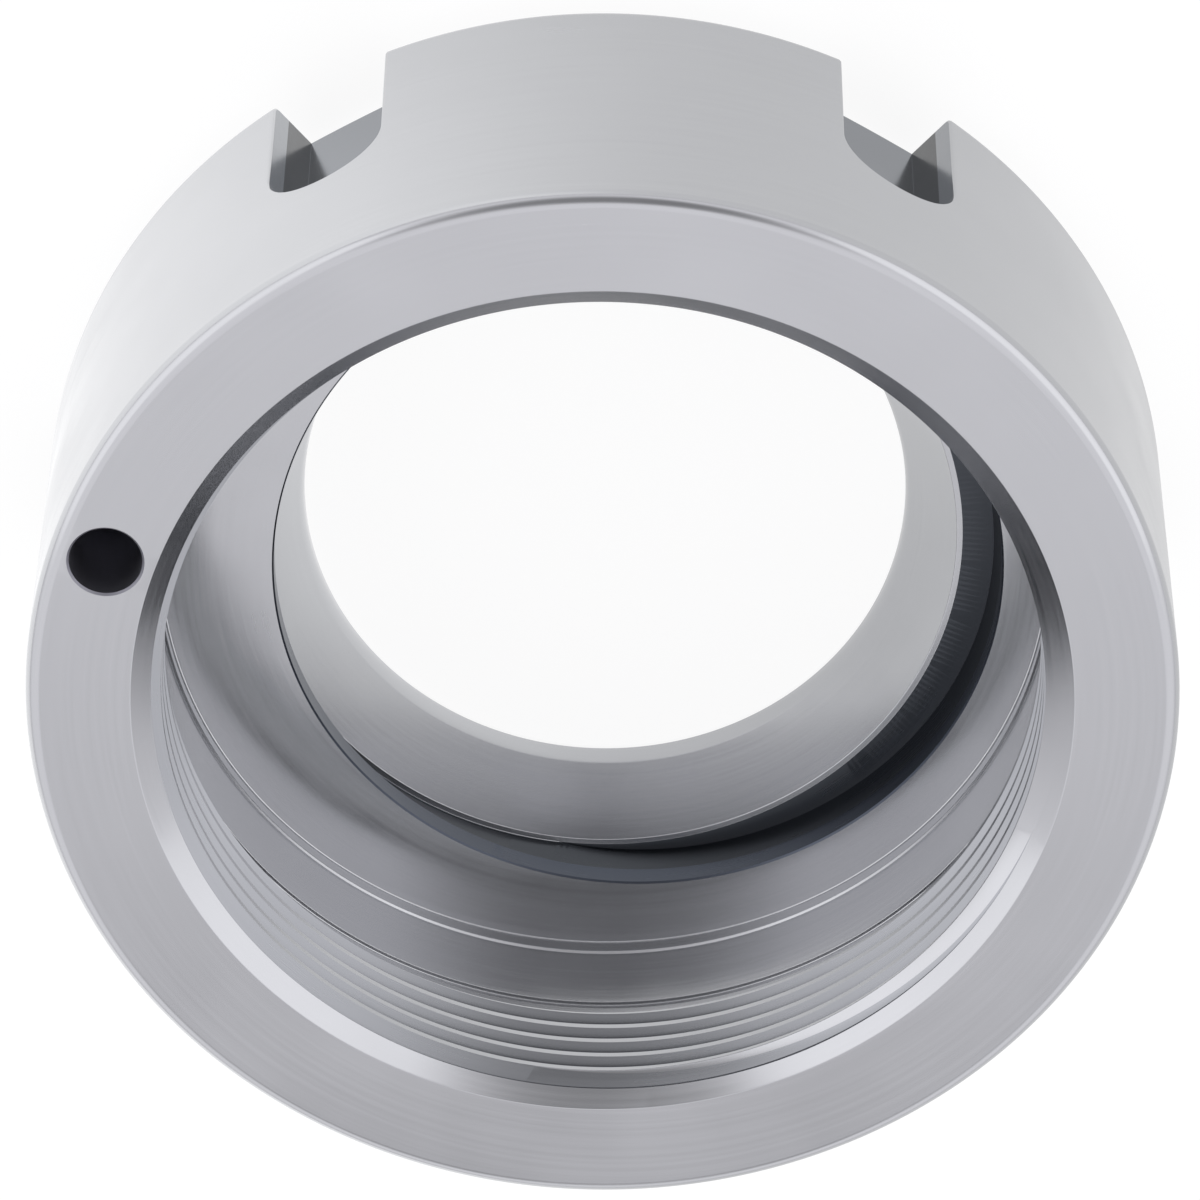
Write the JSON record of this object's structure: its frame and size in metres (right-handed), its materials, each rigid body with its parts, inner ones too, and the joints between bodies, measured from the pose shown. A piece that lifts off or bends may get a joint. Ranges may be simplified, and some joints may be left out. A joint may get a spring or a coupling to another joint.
{
  "type": "collet nut",
  "caption": "Steel collet nut with an internal thread, a conical collet seat, an out-of-centre extractor lip and spanner notches around the rim.",
  "frame": {"origin": "centre of the slotted front face, on the nut's axis", "axes": "+Z along the nut's axis from the slotted front face to the threaded rear face; +X through the middle of one spanner notch"},
  "size_m": [0.063, 0.063, 0.0255],
  "materials": {
    "ground_steel": "hardened and ground steel, bright satin"
  },
  "bodies": {
    "root": {"nut_body": "ground_steel"}
  },
  "joints": []
}
